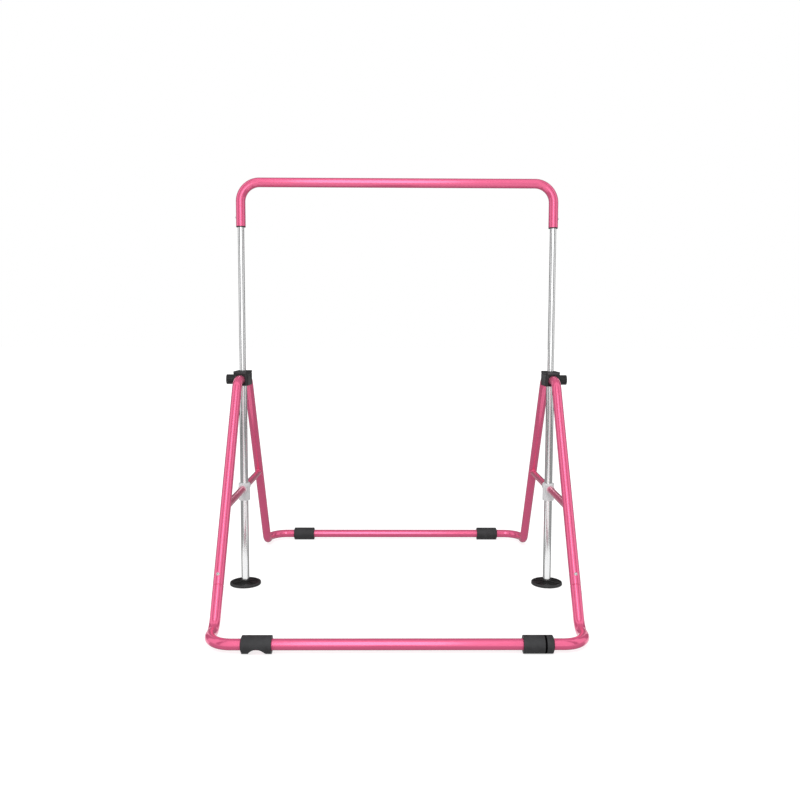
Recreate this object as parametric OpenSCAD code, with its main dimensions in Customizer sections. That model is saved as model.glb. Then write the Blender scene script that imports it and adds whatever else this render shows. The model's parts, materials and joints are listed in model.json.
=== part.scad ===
// Height-adjustable kip bar for home gymnastics, drawn fully extended.
// X runs along the bar, Y from the front (negative) to the rear, and Z is up.
// The origin is on the floor, at the middle of the frame.

/* [Overall] */
// Height of the top of the bar when it is fully raised
bar_height = 1500; // [1470:1:1560]
// Distance between the two uprights, centre to centre
upright_span = 1134; // [1100:1:1200]
// Distance between the front and the rear ground bars, centre to centre
ground_depth = 1330; // [1290:1:1400]
// Height travel of the bar below its highest place
bar_travel = 515; // [300:1:515]

/* [Painted tubes] */
// Outer diameter of the painted steel tube
tube_od = 34; // [34:0.5:34]
// Wall of the painted steel tube
tube_wall = 2; // [1.6:0.1:2]
// Centreline radius of the two bends of the bar
bar_bend_r = 69; // [60:1:90]
// Centreline radius of the bend at the top of a leg
leg_top_bend_r = 54; // [50:1:55]
// Centreline radius of the bend at the foot of a leg
leg_foot_bend_r = 60; // [50:1:70]
// Centreline radius of the bend that lies on the floor
ground_bend_r = 75; // [60:1:80]
// Height of the lower ends of the bar's legs
bar_leg_end_z = 1326; // [1320:1:1340]

/* [Chrome tubes] */
// Outer diameter of the fixed lower chrome tube
outer_od = 29; // [29:0.5:29]
// Inner diameter of the fixed lower chrome tube
outer_id = 26; // [26:0.1:26]
// Outer diameter of the sliding upper chrome tube
inner_od = 23; // [22:0.5:25]
// Wall of the sliding upper chrome tube
inner_wall = 1.5; // [1.2:0.1:1.5]
// Height of the lower end of the sliding tube
inner_foot_z = 640; // [600:1:680]

/* [Hubs and knobs] */
// Height of the middle of a hub
hub_z = 771.5; // [765:0.5:785]
// Height of a hub block
hub_height = 52; // [52:1:60]
// Width of a hub block along the bar
hub_width = 50.5; // [48:0.5:60]
// Depth of a hub block from front to rear
hub_depth = 110; // [104:1:110]
// Diameter of a clamp knob
knob_od = 36; // [30:1:42]
// Length of a clamp knob
knob_length = 29; // [24:1:34]
// Number of grip flutes round a clamp knob
knob_flutes = 12; // [8:1:16]

/* [Ground frame] */
// Outer diameter of the floor sleeves
sleeve_od = 54; // [50:1:60]
// Length of a floor sleeve
sleeve_length = 92; // [80:1:110]
// Distance from the middle plane to the middle of a floor sleeve
sleeve_x = 417; // [400:1:430]
// Distance from the middle plane to the point where a leg's line meets the ground tube's line
leg_foot_y = 546; // [530:1:550]
// Distance of a leg's top corner from the middle plane
leg_top_y = 104; // [85:1:110]
// Height of the seam between a front leg and its corner tube
leg_seam_z = 145; // [130:1:160]

/* [Braces] */
// Height of the braces
brace_z = 368; // [350:1:390]
// Outer diameter of a brace
brace_od = 25; // [22:1:28]
// Height of a brace collar
collar_height = 63; // [50:1:70]

/* [Feet] */
// Diameter of a foot disc
disc_od = 115; // [100:1:125]
// Height of a foot disc's rim
disc_height = 11; // [9:1:14]

/* [Hidden] */
$fn = 64;

LEFT = -1;
RIGHT = 1;
FRONT = -1;
REAR = 1;

paint = "hotpink";
chrome = "silver";
black = [0.16, 0.16, 0.17];

// Clearances: a fixed fit, a sliding fit and the overrun of a cutting tool
fixed_gap = 0.05;
slide_gap = 0.08;
cut = 1;

tube_id = tube_od - 2 * tube_wall;
half_span = upright_span / 2;
ground_y = ground_depth / 2;
bar_z = bar_height - tube_od / 2;
ground_z = sleeve_od / 2;

// Hub: the guide bush sits on the outer tube's end
hub_drop = 21;
hub_bottom_z = hub_z - hub_drop;
hub_top_z = hub_bottom_z + hub_height;
hub_corner_r = 6;
hub_line_below_top = 10;
hub_line_height = 2;
hub_line_depth = 1;
hub_rib_y = [-42, -30, 30, 42];
hub_rib_width = 3;
outer_top_z = hub_z + 12;
bush_od = 33;
bush_lip_od = 38;
bush_lip_height = 1.5;
socket_floor_y = 24;
socket_gap = 0.5;
hub_screw_y = 40;
screw_od = 6;
screw_head_od = 12;
screw_head_height = 3;
screw_length = 17;

// Clamp: stud, insert nut and knob lie on one axis, square to the tube
boss_od = 24;
boss_reach = 29.3;
stud_od = 8;
stud_gap = 0.3;
stud_length = 42;
nut_od = 14;
nut_inner = 16.5;
nut_length = 12;
knob_start = boss_reach + stud_gap;
flute_r = 3;
flute_depth = 1.3;
knob_cap_r = 11;

// Leg line, from the foot corner to the top corner
splay_run = leg_foot_y - leg_top_y;
splay_rise = hub_z - ground_z;
splay = atan2(splay_run, splay_rise);
leg_line = norm([splay_run, splay_rise]);
leg_turn = 90 - splay;
foot_tangent = leg_foot_bend_r * tan(leg_turn / 2);
top_tangent = leg_top_bend_r * tan(leg_turn / 2);
seam_s = (leg_seam_z - ground_z) / cos(splay);
spigot_od = tube_id - 2 * slide_gap;
spigot_id = spigot_od - 3.2;
spigot_length = 75;
swage_length = 3;

bend_thinning = 0.02;
bend_lap = 0.25;

// Snap buttons
button_od = 11;
button_hole = button_od + 0.2;
button_top_r = tube_od / 2 + 2.5;
leg_button_s = seam_s + 33;
leg_button_turn = 3;
leg_button_foot_r = 10.2;
bar_button_z = 1358;
bar_button_foot_r = 7.4;
bar_spring_reach = 8.8;
leg_spring_reach = 12.2;
spring_thickness = 0.8;
spring_width = 9;
spring_length = 46;

// Bar bush: the reducer between the bar's leg and the sliding tube
bar_bush_length = 84;
bar_bush_lip = 3;
inner_top_z = bar_leg_end_z + bar_bush_length;
inner_id = inner_od - 2 * inner_wall;
plug_head = 6;
plug_stem = 20;

// Ground frame
joint_gap = 1;
seam_gap = 1;
ground_spigot_length = 90;
sleeve_nose = 4;
sleeve_nose_r = 18;
arch_width = 54;
arch_height = 20;
arch_shift = 3;
arch_r = (arch_width * arch_width / 4 + arch_height * arch_height) / (2 * arch_height);
band_x = 437;
band_width = 5.6;
band_depth = 3;

// Braces
brace_id = brace_od - 3;
collar_od = 42;
collar_foot_z = brace_z - 46;
collar_socket_od = 33;
collar_socket_reach = 42;
collar_socket_floor = 20;
set_screw_od = 6;
set_screw_length = 6;
leg_y_at_brace = leg_foot_y - (brace_z - ground_z) * tan(splay);

// Feet
pad_r = disc_od / 2 - 2.5;
pad_height = 3;
disc_lift = 1.5;
disc_boss_od = 36;
disc_boss_top = 18;
outer_foot_z = 12;
stem_top_z = 45;
rib_count = 6;
rib_width = 3;

// ---- Placing and tube helpers ----

// Draws its children, made for the right-hand side, on the given side
module on_side(side) {
    if (side < 0) {
        mirror([1, 0, 0]) children();
    } else {
        children();
    }
}

// Draws its children, made for the rear, at the given end
module at_end(end) {
    if (end < 0) {
        mirror([0, 1, 0]) children();
    } else {
        children();
    }
}

// The right-hand upright's axis, at a height
module at_upright(z) {
    translate([half_span, 0, z]) children();
}

// A frame on the right rear leg's line: Z along the leg, Y square to it and outward
module on_leg(s) {
    translate([half_span, leg_foot_y - s * sin(splay), ground_z + s * cos(splay)])
        rotate([splay, 0, 0])
            children();
}

module ring(od, id) {
    difference() {
        circle(d = od);
        circle(d = id);
    }
}

// A straight tube along Z
module pipe(length, od = tube_od, id = tube_id) {
    linear_extrude(height = length) ring(od, id);
}

// A straight tube along X, from one x to another
module pipe_x(from, to, od = tube_od, id = tube_id) {
    translate([from, 0, 0]) rotate([0, 90, 0]) pipe(to - from, od, id);
}

// A straight tube along Y, from one y to another
module pipe_y(from, to, od = tube_od, id = tube_id) {
    translate([0, from, 0]) rotate([-90, 0, 0]) pipe(to - from, od, id);
}

// A bent tube round the origin, from +X through the given angle
module elbow(bend_r, angle, thinning = 0) {
    rotate_extrude(angle = angle)
        translate([bend_r, 0])
            ring(tube_od - 2 * thinning, tube_id + 2 * thinning);
}

// A straight length of painted tube along Z, with the next piece of the run on its end
module run_on(length) {
    translate([0, 0, -bend_lap]) pipe(length + 2 * bend_lap);
    translate([0, 0, length]) children();
}

// A bend of painted tube from Z towards Y, with the next piece of the run on its end.
// Drawing thins the wall of a bend, so its ends lie inside the straights' walls.
module bend_on(bend_r, angle) {
    translate([0, bend_r, 0]) {
        rotate([90, 0, -90]) elbow(bend_r, angle, bend_thinning);
        rotate([-angle, 0, 0]) translate([0, -bend_r, 0]) children();
    }
}

// A cylinder along X, from one x to another
module rod_x(from, to, od) {
    translate([from, 0, 0]) rotate([0, 90, 0]) cylinder(h = to - from, d = od);
}

// A cylinder along Y, from one y to another
module rod_y(from, to, od) {
    translate([0, from, 0]) rotate([-90, 0, 0]) cylinder(h = to - from, d = od);
}

// ---- Sliding bar ----

module top_bar() {
    straight = half_span - bar_bend_r;
    bend_z = bar_z - bar_bend_r;
    color(paint)
        difference() {
            union() {
                translate([0, 0, bar_z]) pipe_x(-straight, straight);
                for (side = [LEFT, RIGHT])
                    on_side(side) {
                        translate([straight, 0, bend_z]) rotate([90, 0, 0]) elbow(bar_bend_r, 90);
                        at_upright(bar_leg_end_z) pipe(bend_z - bar_leg_end_z);
                    }
            }
            for (side = [LEFT, RIGHT])
                on_side(side) at_upright(bar_button_z) rod_x(0, tube_od, button_hole);
        }
}

module inner_tube(side) {
    color(chrome)
        on_side(side)
            difference() {
                at_upright(inner_foot_z) pipe(inner_top_z - inner_foot_z, inner_od, inner_id);
                at_upright(bar_button_z) rod_x(0, tube_od, button_hole);
            }
}

// Plastic reducer pressed into the bar's leg, with a lip round the tube's end
module bar_bush(side) {
    color(black)
        on_side(side)
            difference() {
                union() {
                    at_upright(bar_leg_end_z)
                        pipe(bar_bush_length, tube_id - 2 * fixed_gap, inner_od + 2 * fixed_gap);
                    at_upright(bar_leg_end_z - bar_bush_lip)
                        pipe(bar_bush_lip, tube_od, inner_od + 2 * fixed_gap);
                }
                at_upright(bar_button_z) rod_x(0, tube_od, button_hole);
            }
}

// Plastic guide at the foot of the sliding tube
module tube_plug(side) {
    color(black)
        on_side(side)
            at_upright(inner_foot_z - plug_head) {
                cylinder(h = plug_head, d = outer_id - 2 * slide_gap);
                translate([0, 0, plug_head]) cylinder(h = plug_stem, d = inner_id - 2 * fixed_gap);
            }
}

// A domed pin along X whose round top ends at top_r
module snap_pin(foot_r, top_r) {
    dome_r = button_od / 2;
    intersection() {
        rod_x(foot_r, top_r, button_od);
        union() {
            rod_x(foot_r, top_r - dome_r / 2, button_od);
            translate([top_r - dome_r, 0, 0]) sphere(r = dome_r);
        }
    }
}

// A folded steel strip along Z: one arm carries the pin, the other rests on the far wall
module snap_spring(foot_r, wall_r) {
    near = foot_r - fixed_gap;
    far = -wall_r;
    rotate([90, 0, 0])
        linear_extrude(height = spring_width, center = true)
            polygon([
                [near, -button_od],
                [near, button_od / 2],
                [far + 4, spring_length],
                [far, spring_length],
                [far, 0],
                [far + spring_thickness, 0],
                [far + spring_thickness, spring_length - 3],
                [near - spring_thickness, button_od / 2],
                [near - spring_thickness, -button_od]
            ]);
}

module bar_button(side) {
    color(chrome) on_side(side) at_upright(bar_button_z) snap_pin(bar_button_foot_r, button_top_r);
}

module bar_spring(side) {
    color(chrome) on_side(side) at_upright(bar_button_z) snap_spring(bar_button_foot_r, bar_spring_reach);
}

// ---- Uprights, hubs and clamps ----

module outer_tube(side) {
    color(chrome)
        on_side(side)
            difference() {
                at_upright(outer_foot_z) pipe(outer_top_z - outer_foot_z, outer_od, outer_id);
                at_upright(hub_z) rod_x(0, outer_od, stud_od + 1);
            }
}

// Plastic sleeve that guides the sliding tube
module guide_bush(side) {
    bush_foot = outer_top_z + fixed_gap;
    bore = inner_od + 2 * slide_gap;
    color(black)
        on_side(side) {
            at_upright(bush_foot) pipe(hub_top_z - bush_foot, bush_od, bore);
            at_upright(hub_top_z) pipe(bush_lip_height, bush_lip_od, bore);
        }
}

// A rectangle with round corners
module round_shape(width, depth, corner_r) {
    square([width - 2 * corner_r, depth], center = true);
    square([width, depth - 2 * corner_r], center = true);
    for (x = [-1, 1], y = [-1, 1])
        translate([x * (width / 2 - corner_r), y * (depth / 2 - corner_r)]) circle(r = corner_r);
}

// The line round the hub below its top, where its two halves meet
module hub_line() {
    inset = 2 * hub_line_depth;
    linear_extrude(height = hub_line_height)
        difference() {
            square([hub_width + inset, hub_depth + inset], center = true);
            round_shape(hub_width - inset, hub_depth - inset, hub_corner_r - hub_line_depth);
        }
}

// Shallow upright grooves that leave ribs on the hub's flanks
module hub_grooves() {
    top = hub_top_z - hub_line_below_top - 3 * hub_line_height;
    foot = hub_bottom_z + 2 * hub_line_height;
    for (x = [-1, 1], y = hub_rib_y)
        translate([x * hub_width / 2, y, (top + foot) / 2 - hub_z])
            cube([2 * hub_line_depth, hub_rib_width, top - foot], center = true);
}

module hub(side) {
    upper_bore = bush_od + 2 * fixed_gap;
    color(black)
        on_side(side)
            difference() {
                union() {
                    at_upright(hub_bottom_z)
                        linear_extrude(height = hub_height) round_shape(hub_width, hub_depth, hub_corner_r);
                    at_upright(hub_z) rod_x(0, boss_reach, boss_od);
                }
                at_upright(hub_top_z - hub_line_below_top) hub_line();
                at_upright(hub_z) hub_grooves();
                at_upright(hub_bottom_z - cut)
                    cylinder(h = outer_top_z - hub_bottom_z + cut, d = outer_od + 2 * fixed_gap);
                at_upright(outer_top_z) cylinder(h = hub_top_z - outer_top_z + cut, d = upper_bore);
                at_upright(hub_z) rod_x(0, boss_reach + cut, stud_od + 1);
                at_upright(hub_z) rod_x(nut_inner, boss_reach + cut, nut_od + 2 * fixed_gap);
                for (end = [FRONT, REAR])
                    at_end(end) {
                        at_upright(hub_z) rod_y(socket_floor_y, hub_depth / 2 + cut, tube_od + 2 * fixed_gap);
                        translate([0, hub_screw_y, 0]) {
                            at_upright(hub_bottom_z - cut)
                                cylinder(h = screw_head_height + cut, d = screw_head_od + 1);
                            at_upright(hub_bottom_z)
                                cylinder(h = screw_length, d = screw_od + 2 * fixed_gap);
                        }
                    }
            }
}

// Button-head screws that hold the legs in the hubs, from below
module hub_screws() {
    color(chrome)
        for (side = [LEFT, RIGHT], end = [FRONT, REAR])
            on_side(side)
                at_end(end)
                    translate([0, hub_screw_y, 0])
                        difference() {
                            union() {
                                at_upright(hub_bottom_z + 0.5)
                                    cylinder(h = screw_head_height - 0.5, d = screw_head_od);
                                at_upright(hub_bottom_z + 0.5) cylinder(h = screw_length - 0.5, d = screw_od);
                            }
                            at_upright(hub_bottom_z) cylinder(h = 2.5, d = 4, $fn = 6);
                        }
}

module clamp_nut(side) {
    color("goldenrod")
        on_side(side)
            at_upright(hub_z)
                pipe_x(nut_inner, nut_inner + nut_length, nut_od, stud_od + 2 * fixed_gap);
}

module knob(side) {
    knob_end = knob_start + knob_length;
    color(black)
        on_side(side)
            at_upright(hub_z)
                difference() {
                    rod_x(knob_start, knob_end, knob_od);
                    for (i = [0 : knob_flutes - 1])
                        rotate([i * 360 / knob_flutes, 0, 0])
                            translate([0, 0, knob_od / 2 + flute_r - flute_depth])
                                rod_x(knob_start - cut, knob_end + cut, 2 * flute_r);
                    translate([knob_end, 0, 0]) rod_x(-1, cut, 2 * knob_cap_r);
                    rod_x(knob_start - cut, inner_od / 2 + stud_gap + stud_length, stud_od + 2 * fixed_gap);
                }
}

module knob_stud(side) {
    stud_start = inner_od / 2 + stud_gap;
    color(chrome)
        on_side(side) at_upright(hub_z) rod_x(stud_start, stud_start + stud_length - 0.2, stud_od);
}

// ---- Legs ----

// The ground end of a leg, from the sleeve to the start of the leg's straight,
// with the next piece of the run on its end
module leg_foot() {
    start_x = sleeve_x + joint_gap / 2;
    turn_y = ground_y - ground_bend_r;
    translate([start_x, ground_y, ground_z])
        rotate([0, 90, 0])
            rotate([0, 0, 180])
                run_on(half_span - ground_bend_r - start_x)
                    bend_on(ground_bend_r, 90)
                        rotate([0, 0, -90])
                            run_on(turn_y - leg_foot_y - foot_tangent)
                                bend_on(leg_foot_bend_r, leg_turn)
                                    children();
}

// The rest of a leg, from a place on its straight to the floor of the hub's socket
module leg_rest(start_s) {
    run_on(leg_line - top_tangent - start_s)
        rotate([0, 0, 180])
            bend_on(leg_top_bend_r, leg_turn)
                run_on(leg_top_y - top_tangent - socket_floor_y - socket_gap);
}

module hub_screw_hole() {
    translate([0, hub_screw_y, 0])
        at_upright(hub_bottom_z) cylinder(h = screw_length + cut, d = screw_od + 2 * fixed_gap);
}

module button_hole_in_leg() {
    on_leg(leg_button_s) rotate([0, 0, 90 - leg_button_turn]) rod_x(0, tube_od, button_hole);
}

module front_leg(side) {
    start_s = seam_s + seam_gap;
    color(paint)
        on_side(side)
            at_end(FRONT)
                difference() {
                    on_leg(start_s) leg_rest(start_s);
                    button_hole_in_leg();
                    hub_screw_hole();
                }
}

// The bent foot of a front leg, with a swaged spigot that goes up into the leg
module front_corner(side) {
    straight = seam_s - swage_length - foot_tangent;
    color(paint)
        on_side(side)
            at_end(FRONT)
                difference() {
                    leg_foot()
                        run_on(straight) {
                            pipe(swage_length, tube_od, spigot_id);
                            translate([0, 0, swage_length]) pipe(spigot_length, spigot_od, spigot_id);
                        }
                    button_hole_in_leg();
                }
}

module rear_leg(side) {
    color(paint)
        on_side(side)
            difference() {
                leg_foot() leg_rest(foot_tangent);
                hub_screw_hole();
            }
}

module leg_button(side) {
    color(chrome)
        on_side(side)
            at_end(FRONT)
                on_leg(leg_button_s)
                    rotate([0, 0, 90 - leg_button_turn]) snap_pin(leg_button_foot_r, button_top_r);
}

module leg_spring(side) {
    color(chrome)
        on_side(side)
            at_end(FRONT)
                on_leg(leg_button_s)
                    rotate([0, 0, 90 - leg_button_turn]) snap_spring(leg_button_foot_r, leg_spring_reach);
}

// ---- Ground frame ----

module ground_bar(end) {
    reach = sleeve_x - joint_gap / 2;
    color(paint) translate([0, end * ground_y, ground_z]) pipe_x(-reach, reach);
}

// Steel joiners inside the ground tubes, under the sleeves
module ground_spigots() {
    half = ground_spigot_length / 2;
    od = tube_id - 2 * fixed_gap;
    color(chrome)
        for (side = [LEFT, RIGHT], end = [FRONT, REAR])
            on_side(side)
                translate([0, end * ground_y, ground_z])
                    pipe_x(sleeve_x - half, sleeve_x + half, od, od - 3);
}

// Rubber floor sleeve; its outer end has a steep cone
module sleeve(side, end) {
    length = sleeve_length;
    bore_r = tube_od / 2 + fixed_gap;
    color(black)
        on_side(side)
            difference() {
                translate([sleeve_x - length / 2, end * ground_y, ground_z])
                    rotate([0, 90, 0])
                        rotate_extrude()
                            polygon([
                                [bore_r, 0],
                                [sleeve_od / 2, 0],
                                [sleeve_od / 2, length - sleeve_nose],
                                [sleeve_nose_r, length],
                                [bore_r, length]
                            ]);
                if (side == LEFT && end == FRONT)
                    translate([sleeve_x - arch_shift, end * ground_y, arch_height - arch_r])
                        rod_y(-sleeve_od, sleeve_od, 2 * arch_r);
                if (side == RIGHT && end == FRONT)
                    translate([band_x, end * ground_y, ground_z])
                        pipe_x(-band_width / 2, band_width / 2, sleeve_od + cut, sleeve_od - 2 * band_depth);
            }
}

// Black band in the groove of the right front sleeve
module sleeve_band() {
    half = band_width / 2 - fixed_gap;
    color("black")
        translate([band_x, FRONT * ground_y, ground_z])
            pipe_x(-half, half, sleeve_od, sleeve_od - 2 * band_depth + 2 * fixed_gap);
}

// ---- Braces ----

module brace(side, end) {
    color(paint)
        on_side(side)
            at_end(end)
                difference() {
                    at_upright(brace_z) pipe_y(collar_socket_floor + 0.5, leg_y_at_brace, brace_od, brace_id);
                    on_leg(0) cylinder(h = leg_line, d = tube_od + 2 * fixed_gap);
                }
}

// Plastic collar round the chrome tube, with a socket for each brace
module brace_collar(side) {
    reach = collar_socket_reach;
    color("gainsboro")
        on_side(side)
            difference() {
                union() {
                    at_upright(collar_foot_z) cylinder(h = collar_height, d = collar_od);
                    at_upright(brace_z) rod_y(-reach, reach, collar_socket_od);
                }
                at_upright(collar_foot_z - cut)
                    cylinder(h = collar_height + 2 * cut, d = outer_od + 2 * fixed_gap);
                for (end = [FRONT, REAR])
                    at_end(end)
                        at_upright(brace_z)
                            rod_y(collar_socket_floor, reach + cut, brace_od + 2 * fixed_gap);
                at_upright(collar_foot_z + set_screw_od) rod_x(-collar_od, 0, set_screw_od + 2 * fixed_gap);
            }
}

// Set screws on the inner side of the collars
module collar_screws() {
    start = -outer_od / 2 - fixed_gap - set_screw_length;
    color(chrome)
        for (side = [LEFT, RIGHT])
            on_side(side)
                at_upright(collar_foot_z + set_screw_od)
                    difference() {
                        rod_x(start, start + set_screw_length, set_screw_od);
                        rotate([0, 90, 0]) translate([0, 0, start - cut]) cylinder(h = 3, d = 3, $fn = 6);
                    }
}

// ---- Feet ----

module foot_disc(side) {
    rim_r = disc_od / 2;
    boss_r = disc_boss_od / 2;
    slot_r = outer_od / 2 + fixed_gap;
    stem_r = outer_id / 2 - fixed_gap;
    color(black)
        on_side(side)
            at_upright(0) {
                rotate_extrude()
                    polygon([
                        [0, pad_height],
                        [pad_r + fixed_gap, pad_height],
                        [pad_r + fixed_gap, disc_lift],
                        [rim_r - 0.5, disc_lift],
                        [rim_r, disc_lift + 0.5],
                        [rim_r, disc_height - 3],
                        [rim_r - 1, disc_height - 1],
                        [rim_r - 3, disc_height],
                        [rim_r - 6, disc_height],
                        [rim_r - 9, disc_height - 2.5],
                        [boss_r + 2, disc_height - 1],
                        [boss_r, disc_height + 1],
                        [boss_r, disc_boss_top - 2],
                        [boss_r - 2, disc_boss_top],
                        [slot_r, disc_boss_top],
                        [slot_r, outer_foot_z],
                        [stem_r, outer_foot_z],
                        [stem_r, stem_top_z - 2],
                        [stem_r - 2, stem_top_z],
                        [0, stem_top_z]
                    ]);
                for (i = [0 : rib_count - 1])
                    rotate([90, 0, (i + 0.5) * 360 / rib_count])
                        linear_extrude(height = rib_width, center = true)
                            polygon([
                                [boss_r - 2, disc_height - 4],
                                [rim_r - 5, disc_height - 4],
                                [rim_r - 5, disc_height - 0.5],
                                [boss_r - 2, disc_boss_top - 5]
                            ]);
            }
}

module foot_pad(side) {
    color([0.08, 0.08, 0.08])
        on_side(side) at_upright(0) cylinder(h = pad_height, r = pad_r);
}

top_bar();
inner_tube(LEFT);  // inner_tube_left
inner_tube(RIGHT);  // inner_tube_right
bar_bush(LEFT);  // bar_bush_left
bar_bush(RIGHT);  // bar_bush_right
tube_plug(LEFT);  // tube_plug_left
tube_plug(RIGHT);  // tube_plug_right
bar_button(LEFT);  // bar_button_left
bar_button(RIGHT);  // bar_button_right
bar_spring(LEFT);  // bar_spring_left
bar_spring(RIGHT);  // bar_spring_right
outer_tube(LEFT);  // outer_tube_left
outer_tube(RIGHT);  // outer_tube_right
guide_bush(LEFT);  // guide_bush_left
guide_bush(RIGHT);  // guide_bush_right
hub(LEFT);  // hub_left
hub(RIGHT);  // hub_right
hub_screws();
knob(LEFT);  // knob_left
knob(RIGHT);  // knob_right
knob_stud(LEFT);  // knob_stud_left
knob_stud(RIGHT);  // knob_stud_right
clamp_nut(LEFT);  // clamp_nut_left
clamp_nut(RIGHT);  // clamp_nut_right
front_leg(LEFT);  // front_leg_left
front_leg(RIGHT);  // front_leg_right
front_corner(LEFT);  // front_corner_left
front_corner(RIGHT);  // front_corner_right
leg_button(LEFT);  // leg_button_left
leg_button(RIGHT);  // leg_button_right
leg_spring(LEFT);  // leg_spring_left
leg_spring(RIGHT);  // leg_spring_right
rear_leg(LEFT);  // rear_leg_left
rear_leg(RIGHT);  // rear_leg_right
ground_bar(FRONT);  // front_ground_bar
ground_bar(REAR);  // rear_ground_bar
ground_spigots();
sleeve(LEFT, FRONT);  // front_sleeve_left
sleeve(RIGHT, FRONT);  // front_sleeve_right
sleeve(LEFT, REAR);  // rear_sleeve_left
sleeve(RIGHT, REAR);  // rear_sleeve_right
sleeve_band();
brace(LEFT, FRONT);  // front_brace_left
brace(RIGHT, FRONT);  // front_brace_right
brace(LEFT, REAR);  // rear_brace_left
brace(RIGHT, REAR);  // rear_brace_right
brace_collar(LEFT);  // brace_collar_left
brace_collar(RIGHT);  // brace_collar_right
collar_screws();
foot_disc(LEFT);  // foot_disc_left
foot_disc(RIGHT);  // foot_disc_right
foot_pad(LEFT);  // foot_pad_left
foot_pad(RIGHT);  // foot_pad_right
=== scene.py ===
import json
import math

import bmesh
import bpy
from mathutils import Matrix, Vector


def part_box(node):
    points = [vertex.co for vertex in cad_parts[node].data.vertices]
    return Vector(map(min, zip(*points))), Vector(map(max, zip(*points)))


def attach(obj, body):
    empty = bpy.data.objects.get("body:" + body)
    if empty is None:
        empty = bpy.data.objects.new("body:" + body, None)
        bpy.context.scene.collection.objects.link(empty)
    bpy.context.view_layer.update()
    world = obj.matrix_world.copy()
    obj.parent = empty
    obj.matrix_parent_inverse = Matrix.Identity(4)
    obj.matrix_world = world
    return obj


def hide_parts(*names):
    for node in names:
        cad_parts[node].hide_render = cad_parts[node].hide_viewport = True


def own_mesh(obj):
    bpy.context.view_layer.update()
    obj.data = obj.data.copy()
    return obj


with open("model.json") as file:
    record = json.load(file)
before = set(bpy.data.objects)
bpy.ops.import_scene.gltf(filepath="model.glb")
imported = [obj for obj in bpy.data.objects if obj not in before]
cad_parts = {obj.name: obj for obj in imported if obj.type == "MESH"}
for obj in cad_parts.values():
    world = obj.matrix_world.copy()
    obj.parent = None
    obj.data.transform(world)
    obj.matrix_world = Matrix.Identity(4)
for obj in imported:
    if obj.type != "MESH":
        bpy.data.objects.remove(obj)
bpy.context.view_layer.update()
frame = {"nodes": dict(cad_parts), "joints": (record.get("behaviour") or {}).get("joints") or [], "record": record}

SIDES = (("left", -1), ("right", 1))
ENDS = (("front", -1), ("rear", 1))
MM = 0.001

# ---- Camera: millimetres for the lens, metres for the place, radians for the turns ----
CAMERA_LENS = 36.84
CAMERA_SENSOR = 36
CAMERA_PLACE = Vector((-0.0191, -3.0158, 0.950))
CAMERA_PITCH = 0.0841
CAMERA_YAW = 0.0102
CAMERA_ROLL = 0.0031

# ---- Colours, linear ----
PINK = (0.85, 0.135, 0.285)
PINK_DEEP = (0.66, 0.04, 0.18)
BLACK_PLASTIC = (0.008, 0.008, 0.0085)
BLACK_RUBBER = (0.023, 0.023, 0.0245)


# ---- Material helpers ----

def new_material(name, **sockets):
    """A material with one Principled shader, its plain values set on the sockets."""
    material = bpy.data.materials.new(name)
    material.use_nodes = True
    shader = material.node_tree.nodes["Principled BSDF"]
    for socket, value in sockets.items():
        shader.inputs[socket.replace("_", " ")].default_value = value
    return material, material.node_tree, shader


def add(tree, kind, **settings):
    """A node with its settings; names that aren't properties are input sockets."""
    node = tree.nodes.new(kind)
    for key, value in settings.items():
        if hasattr(node, key):
            setattr(node, key, value)
        else:
            node.inputs[key.replace("_", " ")].default_value = value
    return node


def object_place(tree, scale=(1, 1, 1)):
    """The surface point in the row's frame, in metres, stretched by scale."""
    place = add(tree, "ShaderNodeTexCoord")
    stretch = add(tree, "ShaderNodeVectorMath", operation="MULTIPLY")
    stretch.inputs[1].default_value = scale
    tree.links.new(place.outputs["Object"], stretch.inputs[0])
    return stretch.outputs[0]


def noise(tree, place, scale, detail=3.0, roughness=0.5):
    """Noise from about 0 to 1 at a place, finer with a larger scale."""
    node = add(tree, "ShaderNodeTexNoise", Scale=scale, Detail=detail, Roughness=roughness)
    tree.links.new(place, node.inputs["Vector"])
    return node.outputs["Fac"]


def ramp(tree, value, low, high, at=(0.35, 0.65)):
    """Colours from low to high as value goes between the two stops."""
    node = add(tree, "ShaderNodeValToRGB")
    for element, place, colour in zip(node.color_ramp.elements, at, (low, high)):
        element.position = place
        element.color = (*colour, 1) if len(colour) == 3 else colour
    tree.links.new(value, node.inputs["Fac"])
    return node.outputs["Color"]


def span(tree, value, low, high, to_low, to_high):
    """A value moved from one range to another."""
    node = add(tree, "ShaderNodeMapRange")
    sockets = ("From Min", "From Max", "To Min", "To Max")
    for socket, number in zip(sockets, (low, high, to_low, to_high)):
        node.inputs[socket].default_value = number
    tree.links.new(value, node.inputs["Value"])
    return node.outputs["Result"]


def mix(tree, factor, first, second):
    """Mixes two colours, or a colour and a link, by a linked factor."""
    node = add(tree, "ShaderNodeMix", data_type="RGBA")
    tree.links.new(factor, node.inputs["Factor"])
    for socket, value in (("A", first), ("B", second)):
        target = [s for s in node.inputs if s.name == socket and s.type == "RGBA"][0]
        if isinstance(value, tuple):
            target.default_value = (*value, 1)
        else:
            tree.links.new(value, target)
    return [s for s in node.outputs if s.type == "RGBA"][0]


def add_bump(tree, shader, heights):
    """Chains bumps, each given as (height link, strength, distance in metres)."""
    normal = None
    for height, strength, distance in heights:
        bump = add(tree, "ShaderNodeBump", Strength=strength, Distance=distance)
        tree.links.new(height, bump.inputs["Height"])
        if normal:
            tree.links.new(normal, bump.inputs["Normal"])
        normal = bump.outputs["Normal"]
    tree.links.new(normal, shader.inputs["Normal"])


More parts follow.
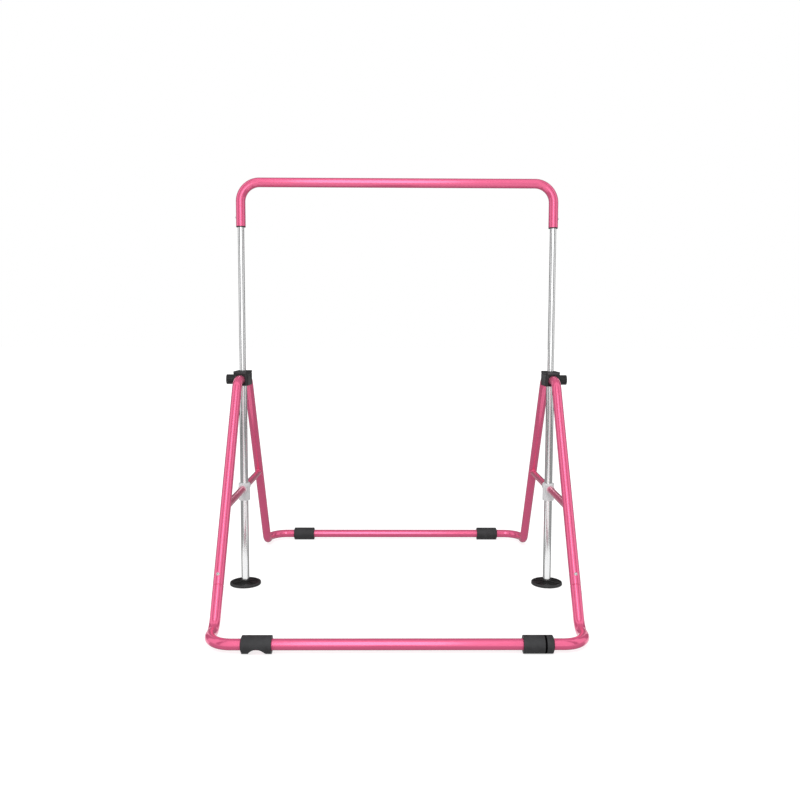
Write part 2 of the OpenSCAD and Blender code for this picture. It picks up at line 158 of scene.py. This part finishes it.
def edge_wear(tree, low=0.52, high=0.60):
    """1 on convex edges and 0 elsewhere."""
    return span(tree, add(tree, "ShaderNodeNewGeometry").outputs["Pointiness"], low, high, 0, 1)


# ---- Materials ----

def painted_pink(name):
    """Glossy pink candy coat: fine metallic flake, faint orange peel, a little deeper in patches."""
    material, tree, shader = new_material(
        name, Metallic=0.5, Coat_Weight=0.55, Coat_Roughness=0.08, Coat_IOR=1.45, Specular_IOR_Level=0.5
    )
    place = object_place(tree)
    patches = noise(tree, place, 7, 2)
    colour = ramp(tree, patches, PINK, tuple(c * 0.96 for c in PINK), (0.3, 0.75))
    flake = add(tree, "ShaderNodeTexVoronoi", Scale=2600)
    tree.links.new(place, flake.inputs["Vector"])
    sparkle = span(tree, flake.outputs["Distance"], 0.0, 0.9, 0.0, 0.06)
    colour = mix(tree, sparkle, colour, PINK_DEEP)
    tree.links.new(colour, shader.inputs["Base Color"])
    smudges = noise(tree, place, 26, 5, 0.6)
    tree.links.new(span(tree, smudges, 0.3, 0.7, 0.15, 0.19), shader.inputs["Roughness"])
    peel = noise(tree, place, 420, 2)
    add_bump(tree, shader, [(peel, 0.05, 0.0003)])
    return material


def chromed(name):
    """Satin chrome plate with faint draw lines along the tube and soft smears."""
    material, tree, shader = new_material(name, Metallic=1.0)
    lines = noise(tree, object_place(tree, (1, 1, 0.012)), 1400, 2)
    smears = noise(tree, object_place(tree, (1, 1, 0.35)), 30, 4, 0.6)
    colour = ramp(tree, smears, (0.90, 0.905, 0.91), (0.95, 0.952, 0.955))
    tree.links.new(colour, shader.inputs["Base Color"])
    tree.links.new(span(tree, smears, 0.3, 0.7, 0.12, 0.18), shader.inputs["Roughness"])
    add_bump(tree, shader, [(lines, 0.04, 0.0002)])
    return material


def plated_steel(name, colour, roughness):
    """Zinc-plated or blued small steel parts with a turned, slightly mottled face."""
    material, tree, shader = new_material(name, Metallic=1.0)
    place = object_place(tree)
    mottle = noise(tree, place, 240, 4, 0.6)
    face = ramp(tree, mottle, tuple(c * 0.8 for c in colour), colour)
    tree.links.new(face, shader.inputs["Base Color"])
    gloss = span(tree, mottle, 0.3, 0.7, roughness * 0.8, roughness * 1.3)
    tree.links.new(gloss, shader.inputs["Roughness"])
    add_bump(tree, shader, [(noise(tree, place, 1800, 2), 0.10, 0.0002)])
    return material


def moulded_plastic(
    name, colour, roughness=0.48, grain=900, worn=(0.07, 0.07, 0.074), spread=(0.82, 1.25)
):
    """Fine-grained moulded plastic with paler, smoother rubbed edges."""
    material, tree, shader = new_material(name, Specular_IOR_Level=0.36)
    place = object_place(tree)
    tone = noise(tree, place, 60, 4, 0.6)
    body = ramp(tree, tone, tuple(c * spread[0] for c in colour), tuple(c * spread[1] for c in colour))
    tree.links.new(mix(tree, edge_wear(tree), body, worn), shader.inputs["Base Color"])
    gloss = span(tree, tone, 0.3, 0.7, roughness - 0.06, roughness + 0.08)
    tree.links.new(gloss, shader.inputs["Roughness"])
    speck = noise(tree, place, grain, 2)
    wave = noise(tree, place, 45, 2)
    add_bump(tree, shader, [(speck, 0.22, 0.0003), (wave, 0.08, 0.0010)])
    return material


def black_rubber(name, colour, roughness=0.55, ribs=0.0, shine=0.35):
    """Moulded rubber: fine matt speckle, a dusty bloom, and ribs where asked for."""
    material, tree, shader = new_material(name, Specular_IOR_Level=shine)
    place = object_place(tree)
    bloom = noise(tree, place, 38, 5, 0.65)
    dusty = tuple(c * 1.5 for c in colour)
    gloss = span(tree, bloom, 0.3, 0.7, roughness - 0.08, roughness + 0.1)
    tree.links.new(ramp(tree, bloom, colour, dusty), shader.inputs["Base Color"])
    tree.links.new(gloss, shader.inputs["Roughness"])
    heights = [(noise(tree, place, 1100, 2), 0.25, 0.0003)]
    if ribs:
        wave = add(tree, "ShaderNodeTexWave", Scale=ribs, wave_type="RINGS", rings_direction="Z")
        tree.links.new(place, wave.inputs["Vector"])
        heights.append((wave.outputs["Fac"], 0.4, 0.0006))
    add_bump(tree, shader, heights)
    return material


def machined_brass(name):
    """Brass with fine turning lines along X."""
    material, tree, shader = new_material(name, Metallic=1.0)
    place = object_place(tree, (0.05, 1, 1))
    turning = noise(tree, place, 900, 3)
    colour = ramp(tree, turning, (0.52, 0.36, 0.13), (0.78, 0.60, 0.28))
    tree.links.new(colour, shader.inputs["Base Color"])
    tree.links.new(span(tree, turning, 0.3, 0.7, 0.22, 0.36), shader.inputs["Roughness"])
    add_bump(tree, shader, [(turning, 0.12, 0.0002)])
    return material


def slot_materials():
    return {
        "bar_paint": painted_pink("bar_pink"),
        "frame_paint": painted_pink("frame_pink"),
        "chrome_tube": chromed("tube_chrome"),
        "bright_steel": plated_steel("zinc_steel", (0.90, 0.905, 0.91), 0.30),
        "spring_steel": plated_steel("blued_spring_steel", (0.40, 0.42, 0.48), 0.3),
        "bush_plastic": moulded_plastic("bush_black", (0.022, 0.022, 0.024), 0.42),
        "hub_plastic": moulded_plastic("hub_black", BLACK_PLASTIC),
        "knob_plastic": moulded_plastic("knob_black", BLACK_PLASTIC, 0.44, 1200),
        "insert_brass": machined_brass("insert_brass"),
        "sleeve_rubber": black_rubber("sleeve_black", BLACK_RUBBER),
        "band_rubber": black_rubber("band_black", (0.001, 0.001, 0.001), 0.6, 0.0, 0.02),
        "collar_plastic": moulded_plastic(
            "collar_grey", (0.60, 0.60, 0.61), 0.42, 900, (0.68, 0.68, 0.69), (0.97, 1.03)
        ),
        "disc_plastic": moulded_plastic("disc_black", BLACK_PLASTIC, 0.46, 800),
        "pad_rubber": black_rubber("pad_black", (0.015, 0.015, 0.015), 0.7, 60),
    }


MATERIALS = slot_materials()


# ---- CAD nodes: materials, joined seams, rounded edges and smooth shading ----

# Edge rounding in millimetres, by a word in the node's name
BEVELS = {
    "hub_left": 0.7, "hub_right": 0.7, "knob": 0.9, "sleeve": 1.0,
    "disc": 0.5, "collar": 0.8, "bush": 0.5, "pad": 0.4,
}
BEVEL_ANGLE = math.radians(38)
BEVEL_SEGMENTS = 3
SMOOTH_ANGLE = math.radians(38)
JOIN_DISTANCE = 2e-6


def smooth_by_angle_group():
    """Geometry nodes that smooth every face and keep edges sharp above SMOOTH_ANGLE."""
    group = bpy.data.node_groups.new("smooth_by_angle", "GeometryNodeTree")
    group.interface.new_socket("Geometry", in_out="INPUT", socket_type="NodeSocketGeometry")
    group.interface.new_socket("Geometry", in_out="OUTPUT", socket_type="NodeSocketGeometry")
    start = group.nodes.new("NodeGroupInput")
    end = group.nodes.new("NodeGroupOutput")
    faces = group.nodes.new("GeometryNodeSetShadeSmooth")
    edges = group.nodes.new("GeometryNodeSetShadeSmooth")
    edges.domain = "EDGE"
    edges.inputs["Shade Smooth"].default_value = False
    angle = group.nodes.new("GeometryNodeInputMeshEdgeAngle")
    sharp = group.nodes.new("FunctionNodeCompare")
    sharp.operation = "GREATER_THAN"
    sharp.inputs[1].default_value = SMOOTH_ANGLE
    group.links.new(angle.outputs["Unsigned Angle"], sharp.inputs[0])
    group.links.new(sharp.outputs[0], edges.inputs["Selection"])
    group.links.new(start.outputs[0], faces.inputs[0])
    group.links.new(faces.outputs[0], edges.inputs[0])
    group.links.new(edges.outputs[0], end.inputs[0])
    return group


SMOOTH_GROUP = smooth_by_angle_group()


def bevel_width(node):
    """The widest rounding that the node's name asks for, in metres."""
    return max([width for word, width in BEVELS.items() if word in node] + [0.0]) * MM


def dress_node(node, slot):
    """Gives a CAD node its slot's material, joins its split vertices and rounds its edges."""
    shown = frame["nodes"][node]
    mesh = shown.data
    mesh.materials.clear()
    mesh.materials.append(MATERIALS[slot])
    for polygon in mesh.polygons:
        polygon.material_index = 0
        polygon.use_smooth = True
    for name in ("custom_normal", "sharp_edge", "sharp_face"):
        if name in mesh.attributes:
            mesh.attributes.remove(mesh.attributes[name])
    join = shown.modifiers.new("join", "WELD")
    join.merge_threshold = JOIN_DISTANCE
    width = bevel_width(node)
    if width:
        bevel = shown.modifiers.new("round_edges", "BEVEL")
        bevel.width = width
        bevel.segments = BEVEL_SEGMENTS
        bevel.limit_method = "ANGLE"
        bevel.angle_limit = BEVEL_ANGLE
    smooth = shown.modifiers.new("smooth", "NODES")
    smooth.node_group = SMOOTH_GROUP


for part in frame["record"]["subparts"]:
    dress_node(part["node"], part["material_slot"])


# ---- Places read from the frame, and the leg's line ----

LEG_FOOT_Y = 0.546
LEG_TOP_Y = 0.104
TUBE_R = 0.017
BRACE_R = 0.0125


def middle(node):
    """The middle of a CAD node's box."""
    low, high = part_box(node)
    return (low + high) / 2


GROUND_Z = middle("front_ground_bar").z
HUB_Z = middle("knob_left").z
BRACE_Z = middle("front_brace_left").z
UPRIGHT_X = middle("outer_tube_right").x
SPLAY = math.atan2(LEG_FOOT_Y - LEG_TOP_Y, HUB_Z - GROUND_Z)


# ---- Mesh pieces ----

LATHE_SIDES = 64


def mesh_piece(name, rows, slot, body, capped=False):
    """A smooth piece from closed rows of points. The last row joins the first, or else both are capped."""
    bm = bmesh.new()
    verts = [[bm.verts.new(point) for point in row] for row in rows]
    count = len(rows)
    for i in range(count - 1 if capped else count):
        row, after = verts[i], verts[(i + 1) % count]
        width = len(row)
        for j in range(width):
            bm.faces.new((row[j], row[(j + 1) % width], after[(j + 1) % width], after[j]))
    if capped:
        bm.faces.new(verts[0])
        bm.faces.new(verts[-1])
    bmesh.ops.recalc_face_normals(bm, faces=bm.faces)
    mesh = bpy.data.meshes.new(name)
    bm.to_mesh(mesh)
    bm.free()
    for polygon in mesh.polygons:
        polygon.use_smooth = True
    mesh.materials.append(MATERIALS[slot])
    piece = bpy.data.objects.new(name, mesh)
    bpy.context.scene.collection.objects.link(piece)
    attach(piece, body)
    return piece


def bead_path(side, end, count):
    """The saddle curve where a brace meets its leg, with the direction away from both tubes."""
    path = []
    for i in range(count):
        turn = 2 * math.pi * i / count
        across, up = math.cos(turn), math.sin(turn)
        depth = -math.sqrt(TUBE_R ** 2 - (BRACE_R * across) ** 2)
        z = BRACE_Z + BRACE_R * up
        y = LEG_FOOT_Y + (depth - (z - GROUND_Z) * math.sin(SPLAY)) / math.cos(SPLAY)
        path.append((
            Vector((side * (UPRIGHT_X + BRACE_R * across), end * y, z)),
            Vector((side * across, 0, up)),
        ))
    return path


def add_weld_bead(side_name, side, end_name, end):
    """A rippled weld bead round the end of a brace."""
    count, around, radius, ripples, ripple_height = 168, 10, 0.0021, 28, 0.16
    path = bead_path(side, end, count)
    rows = []
    for i, (centre, out) in enumerate(path):
        along = (path[(i + 1) % count][0] - path[i - 1][0]).normalized()
        away = (out - out.dot(along) * along).normalized()
        across = along.cross(away)
        swell = radius * (1 + ripple_height * abs(math.sin(math.pi * ripples * i / count)))
        rows.append([
            centre + swell * (math.cos(a) * away + math.sin(a) * across)
            for a in (2 * math.pi * j / around for j in range(around))
        ])
    mesh_piece(f"{end_name}_weld_{side_name}", rows, "frame_paint", "frame")


def lathe_x(name, profile, centre, side, slot, body):
    """A turned piece about X: profile is (distance outward, radius) from the centre."""
    rows = [
        [
            centre + Vector((side * out, radius * math.cos(a), radius * math.sin(a)))
            for a in (2 * math.pi * j / LATHE_SIDES for j in range(LATHE_SIDES))
        ]
        for out, radius in profile
    ]
    mesh_piece(name, rows, slot, body, capped=True)


def add_knob_cap(side_name, side):
    """A shallow domed cap that closes the recess in the knob's end."""
    low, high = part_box(f"knob_{side_name}")
    face_x = high.x if side > 0 else low.x
    centre = Vector((face_x, 0, HUB_Z))
    seat, lip, dome_foot, dome_rise, rim = -0.0009, -0.0005, -0.0008, 0.0007, 0.0106
    profile = [(seat, rim), (lip, rim)]
    steps = 8
    for i in range(steps):
        angle = math.pi / 2 * i / steps
        profile.append((dome_foot + dome_rise * math.sin(angle), rim * (0.35 + 0.6 * math.cos(angle))))
    lathe_x(f"knob_cap_{side_name}", profile, centre, side, "knob_plastic", f"knob_{side_name}_body")


# ---- Tubes, in metres: swept along their real routes, with round sides, walls and softened rims ----

TUBE_SIDES = 56
HOLE_SIDES = 48
BRACE_SIDES = 72
BEND_STEP = math.radians(2.5)
LONGEST_RUN = 0.05
RIM = 0.0007
LEG_TOP_BEND = 0.054
LEG_FOOT_BEND = 0.060
GROUND_BEND = 0.075
BAR_BEND = 0.069
TUBE_WALL = 0.002
THIN_WALL = 0.0015
DRILL_DEPTH = 0.03
BUTTON_R = 0.0055
HOLE_GAP = 0.0001
HOLE_START = 0.006
JOINT_GAP = 0.0005
SOCKET_END_Y = 0.0245
SEAM_Z = 0.145
SEAM_GAP = 0.0014
SPIGOT_REACH = (-0.018, 0.075)
SPIGOT_GAP = 0.0001
SPIGOT_WALL = 0.0016

SLEEVE_X = abs(middle("front_sleeve_left").x)
BAR_LOW, BAR_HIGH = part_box("top_bar")
BAR_Z = BAR_HIGH.z - TUBE_R
BAR_END_Z = BAR_LOW.z
GROUND_Y = middle("rear_ground_bar").y
LEG_SLOPE = Vector((0, -math.sin(SPLAY), math.cos(SPLAY)))
SEAM_LENGTH = (SEAM_Z - GROUND_Z) / math.cos(SPLAY)


def rounded_route(corners, radii):
    """Points along straight runs, with an arc of the given radius at each inner corner."""
    points = [corners[0]]
    for before, corner, after, radius in zip(corners, corners[1:], corners[2:], radii):
        come = (corner - before).normalized()
        leave = (after - corner).normalized()
        turn = come.angle(leave)
        start = corner - come * radius * math.tan(turn / 2)
        inward = (leave - come * math.cos(turn)).normalized()
        centre = start + inward * radius
        count = max(2, round(turn / BEND_STEP))
        for i in range(count + 1):
            angle = turn * i / count
            points.append(centre + radius * (math.sin(angle) * come - math.cos(angle) * inward))
    points.append(corners[-1])
    return points


def divided(points):
    """The same route with long straights cut into lengths of at most LONGEST_RUN."""
    out = [points[0]]
    for here, there in zip(points, points[1:]):
        count = max(1, math.ceil((there - here).length / LONGEST_RUN))
        out += [here.lerp(there, (i + 1) / count) for i in range(count)]
    return out


def ring_frames(points):
    """A square frame at each point that turns no more than the route does."""
    frames = []
    along = (points[1] - points[0]).normalized()
    across = along.orthogonal().normalized()
    for i, point in enumerate(points):
        after = points[min(i + 1, len(points) - 1)]
        before = points[max(i - 1, 0)]
        heading = (after - before).normalized()
        across = (along.rotation_difference(heading) @ across).normalized()
        along = heading
        frames.append((point, along, across, along.cross(across)))
    return frames


def ring(frame_at, radius):
    """A circle of points across the route at one of its frames."""
    point, _, across, up = frame_at
    return [
        point + radius * (math.cos(a) * across + math.sin(a) * up)
        for a in (2 * math.pi * j / TUBE_SIDES for j in range(TUBE_SIDES))
    ]


def tube_rows(points, outer, inner):
    """Rows of a hollow tube: along the outside, over a softened rim, and back along the inside."""
    frames = ring_frames(divided(points))
    first, last = frames[0], frames[-1]
    near = [(first[0] + first[1] * RIM, *first[1:])] + frames[1:-1]
    near.append((last[0] - last[1] * RIM, *last[1:]))
    outside = [ring(f, outer) for f in near]
    inside = [ring(f, inner) for f in reversed(near)]
    return (
        [ring(first, outer - RIM)] + outside + [ring(last, outer - RIM), ring(last, inner + RIM)]
        + inside + [ring(first, inner + RIM)]
    )


def drill(piece, place, direction, radius, depth):
    """Cuts a round hole into a piece, from place along direction."""
    bpy.ops.mesh.primitive_cylinder_add(vertices=HOLE_SIDES, radius=radius, depth=depth)
    cutter = bpy.context.object
    cutter.rotation_euler = Vector(direction).to_track_quat("Z", "Y").to_euler()
    cutter.location = place + Vector(direction) * depth / 2
    hole = piece.modifiers.new("hole", "BOOLEAN")
    hole.operation = "DIFFERENCE"
    hole.solver = "EXACT"
    hole.object = cutter
    bpy.context.view_layer.update()
    shaped = piece.evaluated_get(bpy.context.evaluated_depsgraph_get())
    mesh = bpy.data.meshes.new_from_object(shaped)
    piece.modifiers.clear()
    piece.data = mesh
    bpy.data.objects.remove(cutter)


def add_tube(name, corners, radii, outer, inner, slot, body, replaced, holes=()):
    """A swept tube that stands for a CAD node, if one is given; holes are (place, direction) pairs."""
    rows = tube_rows(rounded_route(corners, radii), outer, inner)
    piece = mesh_piece(name, rows, slot, body)
    for place, direction in holes:
        drill(piece, place, direction, BUTTON_R + HOLE_GAP, DRILL_DEPTH)
    piece.data.set_sharp_from_angle(angle=SMOOTH_ANGLE)
    if replaced:
        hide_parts(replaced)


def at(side, end, x, y, z):
    """A point mirrored to a side, -1 or 1, and to an end, -1 or 1."""
    return Vector((side * x, end * y, z))


def along_leg(side, end, length):
    """The point on a leg's line at a distance from its foot corner."""
    place = Vector((0, LEG_FOOT_Y, GROUND_Z)) + LEG_SLOPE * length
    return at(side, end, UPRIGHT_X, place.y, place.z)


def upper_corners(side, end):
    return [at(side, end, UPRIGHT_X, SOCKET_END_Y, HUB_Z), at(side, end, UPRIGHT_X, LEG_TOP_Y, HUB_Z)]


def lower_corners(side, end):
    return [
        at(side, end, UPRIGHT_X, LEG_FOOT_Y, GROUND_Z),
        at(side, end, UPRIGHT_X, GROUND_Y, GROUND_Z),
        at(side, end, SLEEVE_X + JOINT_GAP, GROUND_Y, GROUND_Z),
    ]


def button_hole(node, toward):
    """The hole that a snap button stands in: from inside the tube, towards the outside."""
    direction = Vector(toward).normalized()
    low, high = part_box(node)
    return (low + high) / 2 - direction * HOLE_START, direction


def add_painted_tubes():
    inner = TUBE_R - TUBE_WALL
    holes = [button_hole(f"bar_button_{name}", (side, 0, 0)) for name, side in SIDES]
    bar_corners = ((-1, BAR_END_Z), (-1, BAR_Z), (1, BAR_Z), (1, BAR_END_Z))
    add_tube(
        "bar_tube",
        [at(s, 1, UPRIGHT_X, 0, z) for s, z in bar_corners],
        [BAR_BEND, BAR_BEND], TUBE_R, inner, "bar_paint", "carriage", "top_bar", holes,
    )
    for end_name, end in ENDS:
        ends = [at(side, end, SLEEVE_X - JOINT_GAP, GROUND_Y, GROUND_Z) for side in (-1, 1)]
        add_tube(
            f"{end_name}_ground_tube", ends, [], TUBE_R, inner,
            "frame_paint", "frame", f"{end_name}_ground_bar",
        )
    press = {j["name"]: j["axis"] for j in frame["joints"]}
    for name, side in SIDES:
        toward = -Vector(press[f"leg_button_{name}_press"])
        hole = [button_hole(f"leg_button_{name}", toward)]
        leg_end = along_leg(side, -1, SEAM_LENGTH + SEAM_GAP)
        add_tube(
            f"front_leg_tube_{name}", upper_corners(side, -1) + [leg_end],
            [LEG_TOP_BEND], TUBE_R, inner, "frame_paint", "frame", f"front_leg_{name}", hole,
        )
        add_tube(
            f"front_corner_tube_{name}", [along_leg(side, -1, SEAM_LENGTH)] + lower_corners(side, -1),
            [LEG_FOOT_BEND, GROUND_BEND], TUBE_R, inner,
            "frame_paint", "frame", f"front_corner_{name}",
        )
        add_tube(
            f"front_spigot_tube_{name}",
            [along_leg(side, -1, SEAM_LENGTH + reach) for reach in SPIGOT_REACH], [],
            inner - SPIGOT_GAP, inner - SPIGOT_GAP - SPIGOT_WALL, "frame_paint", "frame", None, hole,
        )
        add_tube(
            f"rear_leg_tube_{name}", upper_corners(side, 1) + lower_corners(side, 1),
            [LEG_TOP_BEND, LEG_FOOT_BEND, GROUND_BEND], TUBE_R, inner,
            "frame_paint", "frame", f"rear_leg_{name}",
        )


def add_chrome_tubes():
    for name, side in SIDES:
        for node, body in (("outer_tube", "frame"), ("inner_tube", "carriage")):
            low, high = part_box(f"{node}_{name}")
            radius = (high.y - low.y) / 2
            ends = [at(side, 1, UPRIGHT_X, 0, z) for z in (low.z, high.z)]
            holes = []
            if node == "inner_tube":
                holes = [button_hole(f"bar_button_{name}", (side, 0, 0))]
            add_tube(
                f"{node}_sweep_{name}", ends, [], radius, radius - THIN_WALL,
                "chrome_tube", body, f"{node}_{name}", holes,
            )


def add_brace(side_name, side, end_name, end):
    """A brace whose end is cut to the leg's round, as the weld needs."""
    low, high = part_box(f"{end_name}_brace_{side_name}")
    start_y = low.y if end > 0 else -high.y
    cope = [point for point, _ in bead_path(side, end, BRACE_SIDES)]

    def flat(radius, y):
        return [
            Vector((side * (UPRIGHT_X + radius * math.cos(a)), end * y, BRACE_Z + radius * math.sin(a)))
            for a in (2 * math.pi * j / BRACE_SIDES for j in range(BRACE_SIDES))
        ]

    bore = BRACE_R - THIN_WALL
    shrink = Vector((bore / BRACE_R, 1, bore / BRACE_R))
    hub_line = Vector((side * UPRIGHT_X, 0, BRACE_Z))
    inner_cope = [hub_line + (p - hub_line) * shrink for p in cope]
    rows = [
        flat(BRACE_R - RIM, start_y), flat(BRACE_R, start_y + RIM),
        cope, inner_cope, flat(bore, start_y + RIM),
    ]
    piece = mesh_piece(f"{end_name}_brace_tube_{side_name}", rows, "frame_paint", "frame")
    piece.data.set_sharp_from_angle(angle=SMOOTH_ANGLE)
    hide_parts(f"{end_name}_brace_{side_name}")


def add_pressed_springs():
    """Snap springs, copied from their CAD nodes and attached to the frame or the carriage in their place."""
    for joint in frame["joints"]:
        if not joint["name"].endswith("_press"):
            continue
        node = joint["name"].removesuffix("_press").replace("button", "spring")
        made = frame["nodes"][node]
        spring = bpy.data.objects.new(f"{node}_strip", made.data.copy())
        bpy.context.scene.collection.objects.link(spring)
        spring.matrix_world = made.matrix_world
        spring.modifiers.new("join", "WELD").merge_threshold = JOIN_DISTANCE
        spring.modifiers.new("smooth", "NODES").node_group = SMOOTH_GROUP
        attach(spring, "carriage" if node.startswith("bar") else "frame")
        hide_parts(node)
        axis = Vector(joint["axis"]).normalized()
        points = [made.matrix_world @ vertex.co for vertex in made.data.vertices]
        points.sort(key=lambda point: point.dot(axis))
        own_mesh(spring)


add_painted_tubes()
add_chrome_tubes()
add_pressed_springs()
for side_name, side in SIDES:
    for end_name, end in ENDS:
        add_brace(side_name, side, end_name, end)
        add_weld_bead(side_name, side, end_name, end)
    add_knob_cap(side_name, side)

# ---- Camera, floor and light ----

WORLD_GLOW = 0.80
FLOOR_GLOW = 0.76


def add_camera():
    cos_p = math.cos(CAMERA_PITCH)
    cos_y, sin_y = math.cos(CAMERA_YAW), math.sin(CAMERA_YAW)
    forward = Vector((sin_y * cos_p, cos_y * cos_p, -math.sin(CAMERA_PITCH)))
    right = Vector((cos_y, -sin_y, 0))
    up = right.cross(forward)
    rolled_right = math.cos(CAMERA_ROLL) * right + math.sin(CAMERA_ROLL) * up
    rolled_up = math.cos(CAMERA_ROLL) * up - math.sin(CAMERA_ROLL) * right
    data = bpy.data.cameras.new("camera")
    data.lens = CAMERA_LENS
    data.sensor_width = CAMERA_SENSOR
    camera = bpy.data.objects.new("camera", data)
    turn = Matrix((rolled_right, rolled_up, -forward)).transposed().to_4x4()
    camera.matrix_world = Matrix.Translation(CAMERA_PLACE) @ turn
    bpy.context.scene.collection.objects.link(camera)
    bpy.context.scene.camera = camera


def add_area(name, place, target, size, power):
    """A soft box that shines from place towards target."""
    data = bpy.data.lights.new(name, "AREA")
    data.shape = "RECTANGLE"
    data.size, data.size_y = size
    data.energy = power
    light = bpy.data.objects.new(name, data)
    light.location = place
    light.rotation_euler = (Vector(target) - Vector(place)).to_track_quat("-Z", "Y").to_euler()
    bpy.context.scene.collection.objects.link(light)


def glowing(name, strength):
    """A material that only gives off white light."""
    material = bpy.data.materials.new(name)
    material.use_nodes = True
    tree = material.node_tree
    light = add(tree, "ShaderNodeEmission", Strength=strength)
    light.inputs["Color"].default_value = (1, 1, 1, 1)
    tree.links.new(light.outputs[0], tree.nodes["Material Output"].inputs["Surface"])
    return material


def hide_from(thing, *rays):
    """Leaves thing out of what these kinds of ray can meet."""
    for ray in rays:
        setattr(thing, f"visible_{ray}", False)


def add_floor():
    """A white floor that glows a little, so that shadows on it stay faint."""
    bpy.ops.mesh.primitive_plane_add(size=80, location=(0, 0, 0))
    floor = bpy.context.object
    floor.name = "floor"
    material, tree, shader = new_material(
        "floor_white", Roughness=0.9, Specular_IOR_Level=0.0, Emission_Strength=FLOOR_GLOW
    )
    shader.inputs["Emission Color"].default_value = (1, 1, 1, 1)
    speck = noise(tree, object_place(tree), 3, 2)
    grey = ramp(tree, speck, (0.36, 0.36, 0.36), (0.38, 0.38, 0.38))
    tree.links.new(grey, shader.inputs["Base Color"])
    floor.data.materials.append(material)
    hide_from(floor, "glossy", "diffuse")


def add_card(name, place, target, size, glow):
    """A studio card that only reflections see; with no glow it is black."""
    bpy.ops.mesh.primitive_plane_add(size=1, location=place)
    card = bpy.context.object
    card.name = name
    card.scale = (size[0], size[1], 1)
    card.rotation_euler = (Vector(target) - Vector(place)).to_track_quat("Z", "Y").to_euler()
    card.data.materials.append(glowing(name, glow))
    hide_from(card, "camera", "diffuse", "shadow", "transmission")


def add_backdrop():
    """A white dome that only the camera sees, so that the studio can be darker than the background."""
    bpy.ops.mesh.primitive_uv_sphere_add(segments=48, ring_count=24, radius=60)
    dome = bpy.context.object
    dome.name = "backdrop"
    dome.data.materials.append(glowing("backdrop_white", 1.0))
    hide_from(dome, "diffuse", "glossy", "shadow", "transmission")


def add_sun(turn, strength, softness):
    """A soft sun that fills the paint but leaves no glint."""
    data = bpy.data.lights.new("sun", "SUN")
    data.energy = strength
    data.angle = softness
    light = bpy.data.objects.new("sun", data)
    light.rotation_euler = turn
    light.visible_glossy = False
    bpy.context.scene.collection.objects.link(light)


def add_studio():
    world = bpy.data.worlds.new("studio")
    bpy.context.scene.world = world
    world.use_nodes = True
    background = world.node_tree.nodes["Background"]
    background.inputs["Color"].default_value = (1, 1, 1, 1)
    background.inputs["Strength"].default_value = WORLD_GLOW
    add_sun((math.radians(38), math.radians(-10), 0), 1.6, math.radians(40))
    add_area("front_box", (-0.2, -4.4, 3.0), (0, 0, 0.7), (1.5, 5.4), 52)
    # Each card: name, place, what it faces, size, glow
    for side in (-1, 1):
        add_card("gap_card", (side * 2.7, -2.1, 1.9), (0, 0, 0.8), (0.95, 6.5), 0.0)
        add_card("side_card", (side * 4.2, 2.4, 1.6), (0, 0, 0.9), (2.6, 6.5), 0.08)
        add_card("near_foot_card", (side * 0.6, -0.34, -0.02), (side * 0.6, -0.34, 1), (1.0, 0.56), 1.0)
        add_card("far_foot_card", (side * 0.6, -1.0, -0.02), (side * 0.6, -1.0, 1), (1.0, 0.3), 1.0)
    add_card("back_card", (0, 4.6, 2.6), (0, 0, 0.9), (6.5, 7.0), 0.14)
    add_card("roof_card", (0, 1.6, 5.0), (0, 0, 0.9), (7.0, 3.4), 0.20)
    add_card("floor_card", (0, 0, -0.04), (0, 0, 1), (14, 14), 0.30)
    add_card("front_floor_card", (0, -3.9, -0.03), (0, -3.9, 1), (2.4, 5.6), 0.95)
    scene = bpy.context.scene
    scene.view_settings.view_transform = "Standard"
    scene.view_settings.look = "None"


add_camera()
add_floor()
add_backdrop()
add_studio()
